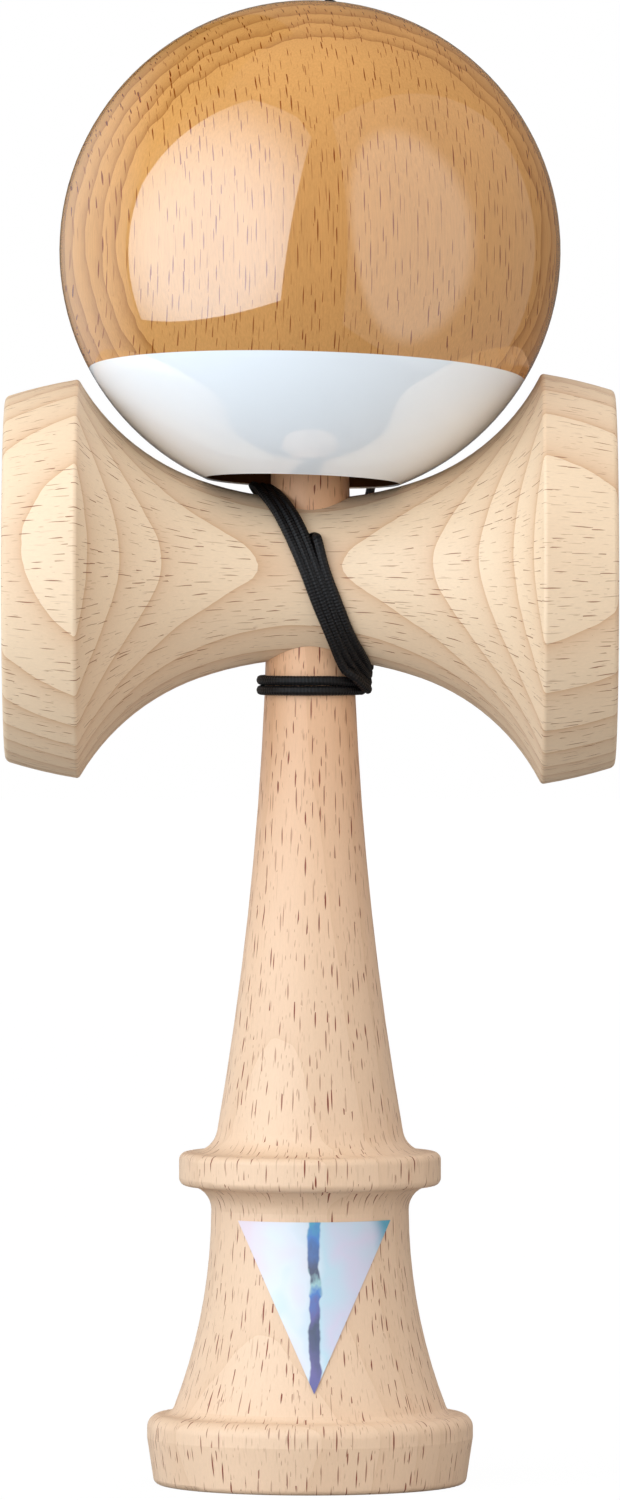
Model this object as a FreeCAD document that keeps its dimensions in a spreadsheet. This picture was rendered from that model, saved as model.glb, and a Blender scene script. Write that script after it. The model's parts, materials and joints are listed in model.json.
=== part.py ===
import FreeCAD, Part
import math
import os
import Sketcher

# A kendama at rest: the ball sits on its spike, over the cross piece, and the cord is lashed round the
# crossing. Millimetres, +Z up, the origin at the centre of the handle's foot. +X points to the cross
# piece's larger cup, and -Y is the side that the string hole and the foil label face.

sizes = {
    # Handle, turned from one piece: foot with its own small cup, grip, slip ring, neck and spike.
    "foot_diameter": 39.1,
    "foot_rim_inset": 0.85,
    "foot_wide_height": 5.6,
    "foot_band_height": 2.8,
    "foot_cup_land": 2.1,
    "foot_cup_sphere": 22.0,
    "foot_edge_round": 0.8,
    "foot_shoulder_round": 1.6,
    "foot_lip_round": 0.5,
    "foot_step_flat": 0.05,
    "grip_foot_round": 1.25,
    "grip_waist_diameter": 23.8,
    "grip_hollow": 66.0,
    "ring_bottom": 35.8,
    "ring_thickness": 4.0,
    "ring_edge_round": 0.9,
    "ring_lower_round": 2.85,
    "ring_under_flat": 0.05,
    "ring_upper_round": 3.0,
    "stem_foot_flat": 0.2,
    "stem_hollow": 400.0,
    "neck_drop": 4.3,
    "neck_diameter": 10.9,
    "cross_height": 108.5,
    "spike_base_rise": 0.8,
    "spike_base_diameter": 9.5,
    "spike_tip_above": 40.0,
    "spike_tip_diameter": 4.6,
    "spike_swell": 280.0,
    "spike_tip_round": 1.5,
    # Cross piece, turned about X: a large cup on the right and a small cup on the left.
    "cross_length": 73.0,
    "cross_waist_diameter": 19.2,
    "cross_waist_hollow": 40.0,
    "cross_flare_place": 13.3,
    "cross_ridge_place": 27.7,
    "large_ridge_diameter": 49.2,
    "large_rim_diameter": 45.0,
    "large_cup_land": 2.0,
    "large_cup_sphere": 26.0,
    "small_ridge_diameter": 47.8,
    "small_rim_diameter": 43.6,
    "small_cup_land": 2.0,
    "small_cup_sphere": 28.0,
    "cross_band_swell": 60.0,
    "cross_ridge_round": 0.5,
    "cross_rim_round": 0.8,
    "cross_lip_round": 0.5,
    "cross_fit_clearance": 0.05,
    # Ball, with the bore that takes the spike and the small hole that takes the cord.
    "ball_diameter": 60.0,
    "ball_mouth_diameter": 23.4,
    "ball_bevel_width": 1.4,
    "ball_bevel_height": 1.6,
    "ball_bore_room": 1.5,
    "ball_bore_point": 3.0,
    "ball_hole_diameter": 2.6,
    "ball_sink_diameter": 5.8,
    "ball_sink_depth": 1.7,
    "ball_lean_angle": 1.9,
    "ball_tip_angle": 4.1,
    "ball_rest_gap": 0.15,
    # Bead and knots that hold the cord.
    "bead_diameter": 7.0,
    "bead_hole_diameter": 1.7,
    "bead_seat_gap": 0.1,
    "bead_knot_diameter": 3.4,
    "bead_knot_gap": 0.1,
    "anchor_knot_diameter": 2.9,
    "anchor_hole_clearance": 0.25,
    "anchor_knot_gap": 0.15,
    "knot_flat_inset": 0.25,
    # Cord: a braid that is drawn round at the size it has when it lies tight.
    "cord_diameter": 0.9,
    "cord_turn_gap": 0.63,
    "cord_clearance": 0.3,
    "cord_hole_side": 0.5,
    "cord_hole_above": 4.7,
    "cord_hole_diameter": 1.9,
    "cord_hole_standoff": 0.9,
    "cord_last_wrap_drop": 0.8,
    "cord_lead_side": 5.2,
    "cord_lead_pass_side": 5.8,
    "cord_lead_pass_angle": 46.0,
    "cord_lead_lift": 2.35,
    "cord_lead_bend": 2.2,
    # Foil label on the front of the grip, a triangle with its point down.
    "label_width": 18.2,
    "label_drop": 3.75,
    "label_rise": 3.45,
    "label_side": 0.5,
    "label_thickness": 0.15,
    "label_gap": 0.03,
    "label_margin": 0.8,
}

upward = FreeCAD.Vector(0, 0, 1)
sideways = FreeCAD.Vector(1, 0, 0)
# Places this near to each other are one place.
same_place = 1e-4

doc = FreeCAD.newDocument("kendama")
sheet = doc.addObject("Spreadsheet::Sheet", "sizes")
for row, (alias, value) in enumerate(sizes.items(), start=1):
    sheet.set("A%d" % row, alias)
    sheet.set("B%d" % row, str(value))
    sheet.setAlias("B%d" % row, alias)
doc.recompute()


def size(alias):
    return float(sheet.get(alias))


def formula(text):
    # Names in a formula are the sheet's, so "a + b" becomes "sizes.a + sizes.b".
    words = sorted(sizes, key=len, reverse=True)
    out = text
    for number, word in enumerate(words):
        out = out.replace(word, "<%d>" % number)
    for number, word in enumerate(words):
        out = out.replace("<%d>" % number, "sizes." + word)
    return out


def worth(text):
    return float(sheet.evalExpression(formula(text)))


def origin_plane(body, role):
    return [feature for feature in body.Origin.OriginFeatures if feature.Role == role][0]


def new_sketch(body, name, role="XZ_Plane"):
    sketch = body.newObject("Sketcher::SketchObject", name)
    sketch.AttachmentSupport = (origin_plane(body, role), [""])
    sketch.MapMode = "FlatFace"
    return sketch


def arc_between(start, end, radius, side):
    # An arc of the given radius. It bulges to the left of the way from start to end where side is 1.
    chord = end - start
    half = chord.Length / 2
    rise = radius - math.sqrt(radius ** 2 - half ** 2)
    left = FreeCAD.Vector(-chord.y, chord.x, 0).normalize()
    return Part.Arc(start, (start + end) / 2 + left * rise * side, end)


def pin_point(sketch, spot, name, across, up):
    # Fixes one vertex by formulas measured from the sketch's origin. A leading minus turns the measure
    # round, and "0" puts the vertex on the axis.
    for kind, text, axis in (("DistanceX", across, -2), ("DistanceY", up, -1)):
        if text == "0":
            sketch.addConstraint(Sketcher.Constraint("PointOnObject", spot[0], spot[1], axis))
            continue
        back = text.startswith("-")
        plain = text[1:] if back else text
        ends = spot + (-1, 1) if back else (-1, 1) + spot
        sketch.addConstraint(Sketcher.Constraint(kind, *ends, worth(plain)))
        index = sketch.ConstraintCount - 1
        label = name + ("_across" if axis == -2 else "_up")
        sketch.renameConstraint(index, label)
        sketch.setExpression("Constraints." + label, formula(plain))


def outline(sketch, corners):
    # A closed outline. Each corner is its name, its two formulas and the edge that leaves it: None for a
    # straight edge, or a radius formula and a side for an arc. An arc marked "free" starts from that
    # radius, and then takes the one that its smooth corner asks for. A corner marked "smooth" has no kink.
    spots = [FreeCAD.Vector(worth(c[1]), worth(c[2]), 0) for c in corners]
    edges = []
    for number, (corner, start) in enumerate(zip(corners, spots)):
        end = spots[(number + 1) % len(spots)]
        edge = corner[3]
        if edge is None:
            edges.append(sketch.addGeometry(Part.LineSegment(start, end)))
        else:
            edges.append(sketch.addGeometry(arc_between(start, end, worth(edge[0]), edge[1])))

    def vertex(edge, spot):
        near = min((1, 2), key=lambda pos: (sketch.getPoint(edge, pos) - spot).Length)
        return (edge, near)

    for number, corner in enumerate(corners):
        before = vertex(edges[number - 1], spots[number])
        after = vertex(edges[number], spots[number])
        smooth = len(corner) > 4
        kind = "Tangent" if smooth else "Coincident"
        sketch.addConstraint(Sketcher.Constraint(kind, before[0], before[1], after[0], after[1]))
        pin_point(sketch, after, corner[0], corner[1], corner[2])
    for number, corner in enumerate(corners):
        edge = corner[3]
        if edge is not None and len(edge) == 2:
            label = corner[0] + "_arc"
            sketch.addConstraint(Sketcher.Constraint("Radius", edges[number], worth(edge[0])))
            sketch.renameConstraint(sketch.ConstraintCount - 1, label)
            sketch.setExpression("Constraints." + label, formula(edge[0]))


def round_hole(sketch, across, up, diameter):
    middle = FreeCAD.Vector(worth(across), worth(up), 0)
    edge = sketch.addGeometry(Part.Circle(middle, upward, worth(diameter) / 2))
    pin_point(sketch, (edge, 3), "centre", across, up)
    sketch.addConstraint(Sketcher.Constraint("Diameter", edge, worth(diameter)))
    sketch.renameConstraint(sketch.ConstraintCount - 1, "width")
    sketch.setExpression("Constraints.width", formula(diameter))


def turned(body, name, sketch, axis):
    feature = body.newObject("PartDesign::Revolution", name)
    feature.Profile = sketch
    feature.ReferenceAxis = (sketch, [axis])
    feature.Angle = 360
    sketch.Visibility = False
    doc.recompute()
    return feature


def rounded(body, name, radius, places, direction):
    # Rounds the circular edges that stand at the given places: (radius formula, formula along the axis).
    base = body.Tip
    found = []
    for radius_text, along_text in places:
        reach, along = worth(radius_text), worth(along_text)
        for number, edge in enumerate(base.Shape.Edges, start=1):
            curve = None if edge.Degenerated else edge.Curve
            if isinstance(curve, Part.Circle) and abs(curve.Radius - reach) < same_place:
                if abs(curve.Center.dot(direction) - along) < same_place:
                    found.append("Edge%d" % number)
    if len(found) < len(places):
        raise RuntimeError("%s found %d of %d edges" % (name, len(found), len(places)))
    feature = body.newObject("PartDesign::Fillet", name)
    feature.Base = (base, found)
    feature.setExpression("Radius", formula(radius))
    doc.recompute()
    return feature


def cut_hole(body, name, sketch, behind=False):
    # A pocket from the XZ plane all the way to the front, or to the back.
    before = body.Shape.Volume
    feature = body.newObject("PartDesign::Pocket", name)
    feature.Profile = sketch
    feature.Reversed = not behind
    feature.Type = "ThroughAll"
    sketch.Visibility = False
    doc.recompute()
    if body.Shape.Volume >= before:
        raise RuntimeError("%s cuts nothing" % name)
    return feature


# Places and radii that follow from the sizes. The handle's steps are as wide as their rounded edges and
# corners ask for, and its tenon reaches a little past the cross piece's waist at both ends.
foot_radius = "(foot_diameter / 2)"
foot_height = "(foot_wide_height + foot_band_height)"
rim_radius = "(" + foot_radius + " - foot_rim_inset)"
foot_cup_radius = "(" + rim_radius + " - foot_cup_land)"
grip_foot_radius = "(" + foot_radius + " - foot_shoulder_round - foot_step_flat - grip_foot_round)"
ring_radius = "(grip_waist_diameter / 2 + ring_lower_round + ring_under_flat + ring_edge_round)"
ring_top = "(ring_bottom + ring_thickness)"
stem_foot_radius = "(" + ring_radius + " - ring_edge_round - stem_foot_flat - ring_upper_round)"
tenon_below = "(cross_waist_diameter / 2 + neck_drop)"
tenon_above = "(cross_waist_diameter / 2 + spike_base_rise)"
spike_tip = "(cross_height + spike_tip_above)"
hole_height = "(cross_height + cord_hole_above)"
anchor_hole = "(anchor_knot_diameter + 2 * anchor_hole_clearance)"


def make_handle():
    body = doc.addObject("PartDesign::Body", "ken")
    sketch = new_sketch(body, "ken_profile")
    cup_depth = "foot_cup_sphere - sqrt(foot_cup_sphere ^ 2 - " + foot_cup_radius + " ^ 2)"
    waist = "grip_waist_diameter / 2"
    outline(sketch, [
        ("cup_floor", "0", cup_depth, ("foot_cup_sphere", 1)),
        ("cup_mouth", foot_cup_radius, "0", None),
        ("foot_rim", rim_radius, "0", None),
        ("foot_wide", foot_radius, "foot_wide_height", None),
        ("foot_top", foot_radius, foot_height, None),
        ("grip_foot", grip_foot_radius, foot_height, ("grip_hollow", 1)),
        ("grip_waist", waist, "ring_bottom", None),
        ("ring_low", ring_radius, "ring_bottom", None),
        ("ring_high", ring_radius, ring_top, None),
        ("stem_foot", stem_foot_radius, ring_top, ("stem_hollow", 1)),
        ("neck", "neck_diameter / 2", "cross_height - " + tenon_below, None),
        ("spike_base", "spike_base_diameter / 2", "cross_height + " + tenon_above, ("spike_swell", -1)),
        ("spike_tip", "spike_tip_diameter / 2", spike_tip, None),
        ("tip_middle", "0", spike_tip, None),
    ])
    turned(body, "ken_turned", sketch, "V_Axis")
    rounded(body, "ring_under_round", "ring_lower_round", [(waist, "ring_bottom")], upward)
    rounded(body, "ring_over_round", "ring_upper_round", [(stem_foot_radius, ring_top)], upward)
    rounded(body, "ring_edges_round", "ring_edge_round", [
        (ring_radius, "ring_bottom"),
        (ring_radius, ring_top),
    ], upward)
    rounded(body, "grip_foot_fillet", "grip_foot_round", [(grip_foot_radius, foot_height)], upward)
    rounded(body, "foot_shoulder", "foot_shoulder_round", [(foot_radius, foot_height)], upward)
    rounded(body, "foot_edge", "foot_edge_round", [(rim_radius, "0")], upward)
    rounded(body, "foot_lip", "foot_lip_round", [(foot_cup_radius, "0")], upward)
    rounded(body, "spike_point", "spike_tip_round", [("spike_tip_diameter / 2", spike_tip)], upward)
    hole = new_sketch(body, "anchor_hole_circle")
    round_hole(hole, "cord_hole_side", hole_height, anchor_hole)
    cut_hole(body, "anchor_hole", hole)
    return body


def make_cross():
    body = doc.addObject("PartDesign::Body", "sarado")
    sketch = new_sketch(body, "sarado_profile")
    half = "cross_length / 2"
    large_mouth = "(large_rim_diameter / 2 - large_cup_land)"
    small_mouth = "(small_rim_diameter / 2 - small_cup_land)"
    large_depth = "(large_cup_sphere - sqrt(large_cup_sphere ^ 2 - " + large_mouth + " ^ 2))"
    small_depth = "(small_cup_sphere - sqrt(small_cup_sphere ^ 2 - " + small_mouth + " ^ 2))"
    large_floor = half + " - " + large_depth
    small_floor = "-(" + half + " - " + small_depth + ")"
    flare_drop = "cross_waist_hollow - sqrt(cross_waist_hollow ^ 2 - cross_flare_place ^ 2)"
    flare = "cross_waist_diameter / 2 + " + flare_drop
    first_guess = "cross_ridge_place"
    outline(sketch, [
        ("small_floor", small_floor, "0", ("small_cup_sphere", -1)),
        ("small_mouth", "-" + half, small_mouth, None),
        ("small_rim", "-" + half, "small_rim_diameter / 2", ("cross_band_swell", 1)),
        ("small_ridge", "-cross_ridge_place", "small_ridge_diameter / 2", (first_guess, -1, "free")),
        ("small_flare", "-cross_flare_place", flare, ("cross_waist_hollow", -1), "smooth"),
        ("large_flare", "cross_flare_place", flare, (first_guess, -1, "free"), "smooth"),
        ("large_ridge", "cross_ridge_place", "large_ridge_diameter / 2", ("cross_band_swell", 1)),
        ("large_rim", half, "large_rim_diameter / 2", None),
        ("large_mouth", half, large_mouth, ("large_cup_sphere", -1)),
        ("large_floor", large_floor, "0", None),
    ])
    turned(body, "sarado_turned", sketch, "H_Axis")
    rounded(body, "ridges_round", "cross_ridge_round", [
        ("small_ridge_diameter / 2", "-cross_ridge_place"),
        ("large_ridge_diameter / 2", "cross_ridge_place"),
    ], sideways)
    rounded(body, "rims_round", "cross_rim_round", [
        ("small_rim_diameter / 2", "-" + half),
        ("large_rim_diameter / 2", half),
    ], sideways)
    rounded(body, "lips_round", "cross_lip_round", [
        (small_mouth, "-" + half),
        (large_mouth, half),
    ], sideways)
    # The bore follows the handle's taper between the neck and the spike, a named clearance wider.
    bore = new_sketch(body, "sarado_bore_profile")
    low = "-" + tenon_below
    outline(bore, [
        ("low_middle", "0", low, None),
        ("low_wall", "neck_diameter / 2 + cross_fit_clearance", low, None),
        ("high_wall", "spike_base_diameter / 2 + cross_fit_clearance", tenon_above, None),
        ("high_middle", "0", tenon_above, None),
    ])
    before = body.Shape.Volume
    groove = body.newObject("PartDesign::Groove", "sarado_bore")
    groove.Profile = bore
    groove.ReferenceAxis = (bore, ["V_Axis"])
    groove.Angle = 360
    bore.Visibility = False
    doc.recompute()
    if body.Shape.Volume >= before:
        raise RuntimeError("the cross piece's bore cuts nothing")
    hole = new_sketch(body, "sarado_hole_circle")
    round_hole(hole, "cord_hole_side", "cord_hole_above", "cord_hole_diameter")
    cut_hole(body, "sarado_hole", hole)
    body.Placement.Base = FreeCAD.Vector(0, 0, size("cross_height"))
    return body


# The bore's depth is for a ball that only leans to the right, with the right side of its mouth on the cross
# piece.
mouth_drop = "(sqrt(ball_diameter ^ 2 - ball_mouth_diameter ^ 2) / 2)"
mouth_side = "(ball_mouth_diameter / 2 * cos(ball_lean_angle) - " + mouth_drop + " * sin(ball_lean_angle))"
mouth_below = "(" + mouth_drop + " * cos(ball_lean_angle) + ball_mouth_diameter / 2 * sin(ball_lean_angle))"
seat_drop = "(cross_waist_hollow - sqrt(cross_waist_hollow ^ 2 - " + mouth_side + " ^ 2))"
seat_height = "(cross_height + cross_waist_diameter / 2 + " + seat_drop + ")"
ball_height = "(" + seat_height + " + " + mouth_below + " + ball_rest_gap)"

# Places on the ball's own axis, from its centre. The bore takes the spike, and above its tip the bead and
# its knot. The bead's ball rests against the drill point at the top of the bore, and the cord comes into
# the hole from a bend over the ball's top.
sink_rise = "sqrt(ball_diameter ^ 2 - ball_sink_diameter ^ 2) / 2"
bore_radius = "(ball_mouth_diameter / 2 - ball_bevel_width)"
bead_space = "(bead_diameter + bead_knot_diameter + ball_bore_room)"
bore_end = "(" + spike_tip + " - " + ball_height + " + " + bead_space + ")"
bore_slope = "(ball_bore_point / (" + bore_radius + " - ball_hole_diameter / 2))"
bore_apex = "(" + bore_end + " + " + bore_radius + " * " + bore_slope + ")"
bead_reach = "(bead_diameter / 2 + bead_seat_gap) * sqrt(1 + " + bore_slope + " ^ 2)"
bead_height = "(" + bore_apex + " - " + bead_reach + ")"
bead_knot_top = "(" + bead_height + " - bead_diameter / 2 - bead_knot_gap)"
cord_sphere = "(ball_diameter / 2 + cord_diameter / 2 + cord_clearance)"
bend_height = "sqrt((" + cord_sphere + " - cord_lead_bend) ^ 2 - cord_lead_bend ^ 2)"


def make_ball():
    body = doc.addObject("PartDesign::Body", "tama")
    sketch = new_sketch(body, "tama_profile")
    outline(sketch, [
        ("sink_edge", "ball_sink_diameter / 2", sink_rise, ("ball_diameter / 2", 1)),
        ("mouth", "ball_mouth_diameter / 2", "-" + mouth_drop, None),
        ("bevel", bore_radius, "-(" + mouth_drop + " - ball_bevel_height)", None),
        ("bore_end", bore_radius, bore_end, None),
        ("hole_low", "ball_hole_diameter / 2", bore_end + " + ball_bore_point", None),
        ("hole_high", "ball_hole_diameter / 2", sink_rise + " - ball_sink_depth", None),
    ])
    turned(body, "tama_turned", sketch, "V_Axis")
    body.Placement = ball_frame()
    return body


mouth_places = 720


def cross_radius(place):
    # Radius of the cross piece's waist at a distance along its axis, where it is still one hollow arc.
    hollow = size("cross_waist_hollow")
    return size("cross_waist_diameter") / 2 + hollow - math.sqrt(hollow ** 2 - place ** 2)


def seated_height(turn):
    # The height of the ball's centre over the handle's foot, with the mouth's edge just off the waist.
    reach = size("ball_mouth_diameter") / 2
    heights = []
    for number in range(mouth_places):
        angle = 2 * math.pi * number / mouth_places
        edge = FreeCAD.Vector(reach * math.cos(angle), reach * math.sin(angle), -worth(mouth_drop))
        spot = turn.multVec(edge)
        clear = cross_radius(spot.x) + size("ball_rest_gap")
        if abs(spot.y) < clear:
            heights.append(size("cross_height") - spot.z + math.sqrt(clear ** 2 - spot.y ** 2))
    return max(heights)


def ball_frame():
    # The ball leans to the right and tips back a little on the round waist.
    lean = FreeCAD.Rotation(FreeCAD.Vector(0, 1, 0), size("ball_lean_angle"))
    tip = FreeCAD.Rotation(FreeCAD.Vector(1, 0, 0), -size("ball_tip_angle"))
    turn = tip.multiply(lean)
    return FreeCAD.Placement(upward * seated_height(turn), turn)


def in_ball(spot):
    return ball_frame().multVec(spot)


def knot(name, diameter, frame):
    # A knot is a ball with a flat where the cord leaves it.
    ball = doc.addObject("Part::Sphere", name)
    ball.setExpression("Radius", formula(diameter + " / 2"))
    ball.setExpression("Angle2", formula("asin(1 - 2 * knot_flat_inset / " + diameter + ")"))
    ball.Placement = frame
    return ball


def knot_flat(diameter):
    return size(diameter) / 2 - size("knot_flat_inset")


def make_bead():
    frame = ball_frame()
    ball = doc.addObject("Part::Sphere", "bead_ball")
    ball.setExpression("Radius", formula("bead_diameter / 2"))
    hole = doc.addObject("Part::Cylinder", "bead_hole")
    hole.setExpression("Radius", formula("bead_hole_diameter / 2"))
    hole.setExpression("Height", formula("bead_diameter"))
    hole.setExpression("Placement.Base.z", formula("-bead_diameter / 2"))
    bead = doc.addObject("Part::Cut", "stopper_bead")
    bead.Base = ball
    bead.Tool = hole
    centre = in_ball(upward * worth(bead_height))
    bead.Placement = FreeCAD.Placement(centre, frame.Rotation)
    return bead


def make_bead_knot():
    centre = in_ball(upward * (worth(bead_knot_top) - knot_flat("bead_knot_diameter")))
    frame = FreeCAD.Placement(centre, ball_frame().Rotation)
    return knot("bead_knot", "bead_knot_diameter", frame)


def anchor_knot_face():
    # How far in front of the handle's axis the anchor knot's flat is: just inside the cross piece's wall.
    return size("spike_base_diameter") / 2 - size("anchor_knot_gap") - size("knot_flat_inset")


def make_anchor_knot():
    centre = FreeCAD.Vector(
        size("cord_hole_side"),
        -(anchor_knot_face() - knot_flat("anchor_knot_diameter")),
        worth(hole_height),
    )
    turn = FreeCAD.Rotation(upward, FreeCAD.Vector(0, -1, 0))
    return knot("anchor_knot", "anchor_knot_diameter", FreeCAD.Placement(centre, turn))


# The lashing. A station is a place that the cord passes, with the way it goes there. Stations stand a
# quarter of a turn apart, and two arcs that share a tangent join each pair. The cord goes round the
# crossing in lanes, then round the neck in wraps, and on up the ball's back.
lanes = 3
neck_wraps = 2
quarters = 4


def arc_edge(start, way, end):
    # The arc that leaves start along way and ends at end.
    chord = end - start
    across = chord - way * chord.dot(way)
    if across.Length < same_place ** 2:
        return Part.LineSegment(start, end).toShape(), float("inf")
    radius = chord.Length ** 2 / (2 * across.Length)
    centre = start + across.normalize() * radius
    middle = centre + ((start - centre) + (end - centre)).normalize() * radius
    return Part.Arc(start, middle, end).toShape(), radius


def two_arcs(first, second):
    (start, way), (end, way_end) = first, second
    chord = end - start
    both = way + way_end
    bend = 2 * (1 - way.dot(way_end))
    push = chord.dot(both)
    if bend < same_place ** 2:
        reach = chord.dot(chord) / (4 * chord.dot(way_end))
    else:
        reach = (math.sqrt(push ** 2 + bend * chord.dot(chord)) - push) / bend
    joint = (start + way * reach + end - way_end * reach) / 2
    out = arc_edge(start, way, joint)
    back = arc_edge(end, way_end * -1, joint)
    return [out, back]


def cord_pitch():
    return size("cord_diameter") + size("cord_turn_gap")


def cord_offset():
    return size("cord_diameter") / 2 + size("cord_clearance")


def over_place(lane):
    # Over the cross piece, left of the spike. Lane 1 is next to the spike.
    across = -(size("spike_base_diameter") / 2 + cord_offset() + (lane - 1) * cord_pitch())
    return FreeCAD.Vector(across, 0, size("cross_height") + cross_radius(across) + cord_offset())


def under_place(lane):
    # Under the cross piece, right of the neck. The last lane is next to the neck.
    across = size("neck_diameter") / 2 + cord_offset() + (lanes - lane) * cord_pitch()
    return FreeCAD.Vector(across, 0, size("cross_height") - cross_radius(across) - cord_offset())


def middle_lane():
    return (1 + lanes) / 2


def diagonal():
    # The way down the front, from over the left to under the right, and the middle of the bundle.
    over, under = over_place(middle_lane()), under_place(middle_lane())
    way = (under - over).normalize()
    share = (over.z - size("cross_height")) / (over.z - under.z)
    return way, over.x + (under.x - over.x) * share


def front_place(lane):
    # Lane 0 is the stretch that comes out of the hole.
    way, middle = diagonal()
    across = middle + (middle_lane() - lane) * cord_pitch() / -way.z
    return FreeCAD.Vector(across, -(cross_radius(across) + cord_offset()), size("cross_height"))


def back_place(lane):
    # A back stretch lies half a lane further on, because it joins one front lane to the next.
    way, middle = diagonal()
    across = middle + (middle_lane() + 1 / 2 - lane) * cord_pitch() / -way.z
    return FreeCAD.Vector(across, cross_radius(across) + cord_offset(), size("cross_height"))


def lashing_stations():
    forward = FreeCAD.Vector(0, -1, 0)
    backward = FreeCAD.Vector(0, 1, 0)
    down = diagonal()[0]
    hole_z = worth(hole_height)
    wall = math.sqrt(cross_radius(size("cord_hole_side")) ** 2 - size("cord_hole_above") ** 2)
    knot_end = FreeCAD.Vector(size("cord_hole_side"), -anchor_knot_face(), hole_z)
    hole_end = FreeCAD.Vector(size("cord_hole_side"), -(wall + size("cord_hole_standoff") / 2), hole_z)
    stations = [(knot_end, forward), (hole_end, forward), (front_place(0), down)]
    stations.append((under_place(0), backward))
    for lane in range(1, lanes + 1):
        stations.append((back_place(lane), down * -1))
        stations.append((over_place(lane), forward))
        stations.append((front_place(lane), down))
        stations.append((under_place(lane), backward))
    # The wraps go round the neck and down.
    reach = under_place(lanes).x
    start_z = under_place(lanes).z
    steps = neck_wraps * quarters
    for step in range(1, steps + 1):
        turn = 2 * math.pi * step / quarters
        drop = cord_pitch() * step / quarters
        if step == steps:
            drop += size("cord_last_wrap_drop")
        spot = FreeCAD.Vector(reach * math.cos(turn), reach * math.sin(turn), start_z - drop)
        slope = cord_pitch() / (2 * math.pi * reach)
        way = FreeCAD.Vector(-math.sin(turn), math.cos(turn), -slope).normalize()
        stations.append((spot, way))
    stations[-1] = (stations[-1][0], backward)
    stations.append(lead_pass())
    stations.append(lead_start())
    return stations


def lead_reach(across):
    return cross_radius(across) + cord_offset() + size("cord_lead_lift")


def lead_pass():
    # Under the back of the cross piece the cord passes over the turns.
    across = size("cord_lead_pass_side")
    angle = math.radians(size("cord_lead_pass_angle"))
    reach = lead_reach(across)
    spot = FreeCAD.Vector(across, reach * math.cos(angle), size("cross_height") - reach * math.sin(angle))
    slant = (size("cord_lead_side") - across) / (reach * angle)
    return spot, FreeCAD.Vector(slant, math.sin(angle), math.cos(angle)).normalize()


def lead_start():
    # The lashing ends behind the cross piece, and from there the cord makes for the ball's back.
    across = size("cord_lead_side")
    spot = FreeCAD.Vector(across, lead_reach(across), size("cross_height"))
    return spot, lead_run(spot)[1]


def lead_run(spot):
    # The lead lies in one plane through the ball's axis. It returns the plane's outward direction in the
    # ball's frame, the way of the straight run and the place where that run meets the ball's circle.
    frame = ball_frame()
    local = frame.inverse().multVec(spot)
    outward = FreeCAD.Vector(local.x, local.y, 0).normalize()
    reach = worth(cord_sphere)
    across, up = local.dot(outward), local.z
    away = math.hypot(across, up)
    tangent_length = math.sqrt(away ** 2 - reach ** 2)
    angle = math.atan2(up, across) + math.acos(reach / away)
    touch = outward * (reach * math.cos(angle)) + upward * (reach * math.sin(angle))
    way = (touch - local) / tangent_length
    return outward, frame.Rotation.multVec(way), touch, angle, reach


def lead_edges():
    # Straight to the ball, round its back, and down into its hole.
    start = lead_start()[0]
    outward, way, touch, angle, reach = lead_run(start)
    bend = size("cord_lead_bend")
    height = worth(bend_height)
    turn_angle = math.atan2(height, bend)

    def on_circle(at):
        return outward * (reach * math.cos(at)) + upward * (reach * math.sin(at))

    bend_centre = outward * bend + upward * height
    half_way = (turn_angle + math.pi) / 2
    bend_middle = bend_centre + (outward * math.cos(half_way) + upward * math.sin(half_way)) * bend
    bend_end = upward * height
    edges = [Part.LineSegment(start, in_ball(touch)).toShape()]
    edges.append(Part.Arc(
        in_ball(touch),
        in_ball(on_circle((angle + turn_angle) / 2)),
        in_ball(on_circle(turn_angle)),
    ).toShape())
    edges.append(Part.Arc(
        in_ball(on_circle(turn_angle)),
        in_ball(bend_middle),
        in_ball(bend_end),
    ).toShape())
    print("lead radii %.2f %.2f" % (reach, bend))
    return edges


def cord_solid(edges, way):
    start = edges[0].valueAt(edges[0].FirstParameter)
    if (edges[0].valueAt(edges[0].LastParameter) - start).dot(way) < 0:
        start = edges[0].valueAt(edges[0].LastParameter)
    ring = Part.Wire(Part.Circle(start, way, size("cord_diameter") / 2).toShape())
    path = Part.Wire(edges)
    solid = path.makePipeShell([ring], True, False)
    want = math.pi * size("cord_diameter") ** 2 / 4 * path.Length
    print("cord length %.1f volume %.2f of %.2f" % (path.Length, solid.Volume, want))
    return solid


def least_gap(edges):
    # Measured on points a third of a diameter apart, leaving out pairs that are near along the cord.
    points = []
    run = 0.0
    for edge in edges:
        count = 2 + int(3 * edge.Length / size("cord_diameter"))
        span = edge.LastParameter - edge.FirstParameter
        for number in range(count):
            share = number / count
            points.append((run + edge.Length * share, edge.valueAt(edge.FirstParameter + span * share)))
        run += edge.Length
    skip = 2 * math.pi * size("cord_diameter")
    least = float("inf")
    for first in range(len(points)):
        for second in range(first + 1, len(points)):
            if abs(points[second][0] - points[first][0]) > skip:
                least = min(least, (points[second][1] - points[first][1]).Length)
    return least - size("cord_diameter")


def make_lashing():
    stations = lashing_stations()
    edges = [Part.LineSegment(stations[0][0], stations[1][0]).toShape()]
    radii = []
    for first, second in zip(stations[1:-1], stations[2:]):
        for edge, radius in two_arcs(first, second):
            edges.append(edge)
            radii.append(radius)
    print("lashing radii", " ".join("%.1f" % radius for radius in radii))
    ordered = Part.__sortEdges__(edges)
    print("lashing least gap to itself %.2f" % least_gap(ordered))
    lashing = doc.addObject("Part::Feature", "string_lashing")
    lashing.Shape = cord_solid(ordered, stations[0][1])
    return lashing


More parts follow.
